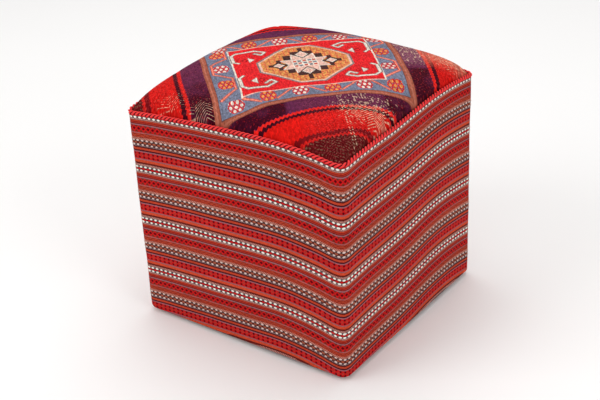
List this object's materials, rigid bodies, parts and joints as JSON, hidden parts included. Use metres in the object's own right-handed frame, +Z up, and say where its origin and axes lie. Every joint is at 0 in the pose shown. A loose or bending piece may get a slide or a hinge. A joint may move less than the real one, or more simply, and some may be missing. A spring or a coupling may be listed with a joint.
{
  "type": "kilim pouf",
  "caption": "Square upholstered floor pouf: a padded wooden box with a crowned foam seat, covered in a patterned kilim top and a striped kilim band.",
  "frame": {"origin": "centre of the footprint, on the floor that the glides stand on", "axes": "+Z up, +X to the right and -Y to the front; the front (-Y) and right (+X) faces are the two that the picture shows"},
  "size_m": [0.406, 0.394, 0.417],
  "materials": {
    "kilim_top": "flat-woven wool kilim, red field with a blue-grey border, plum and red outside",
    "side_band": "flat-woven striped wool kilim, reds with rows of white and pale floats",
    "top_seam_cord": "twisted red wool cord",
    "band_closing_seam": "waxed dark red thread",
    "wood": "planed softwood, unfinished",
    "hardboard": "hardboard, smooth side out",
    "plywood": "plywood, unfinished",
    "zinc_screws": "zinc-plated steel",
    "staple_wire": "galvanised steel wire",
    "foam": "open-cell polyurethane foam",
    "wadding": "polyester wadding",
    "dust_cover": "black spun-bonded cloth",
    "glides": "moulded brown plastic"
  },
  "bodies": {
    "root": {"corner_post_front_left": "wood", "corner_post_front_right": "wood", "corner_post_back_right": "wood", "corner_post_back_left": "wood", "bottom_rail_front": "wood", "bottom_rail_right": "wood", "bottom_rail_back": "wood", "bottom_rail_left": "wood", "top_rail_front": "wood", "top_rail_right": "wood", "top_rail_back": "wood", "top_rail_left": "wood", "side_panel_front": "hardboard", "side_panel_right": "hardboard", "side_panel_back": "hardboard", "side_panel_left": "hardboard", "top_deck": "plywood", "frame_screws": "zinc_screws", "deck_screws": "zinc_screws", "panel_staples": "staple_wire", "seat_foam": "foam", "seat_wadding": "wadding", "side_wadding": "wadding", "kilim_top": "kilim_top", "side_band": "side_band", "top_seam_cord": "top_seam_cord", "band_closing_seam": "band_closing_seam", "hem_staples": "staple_wire", "dust_cover": "dust_cover", "dust_cover_staples": "staple_wire", "glide_front_left": "glides", "glide_front_right": "glides", "glide_back_right": "glides", "glide_back_left": "glides", "glide_nails": "zinc_screws"}
  },
  "joints": []
}
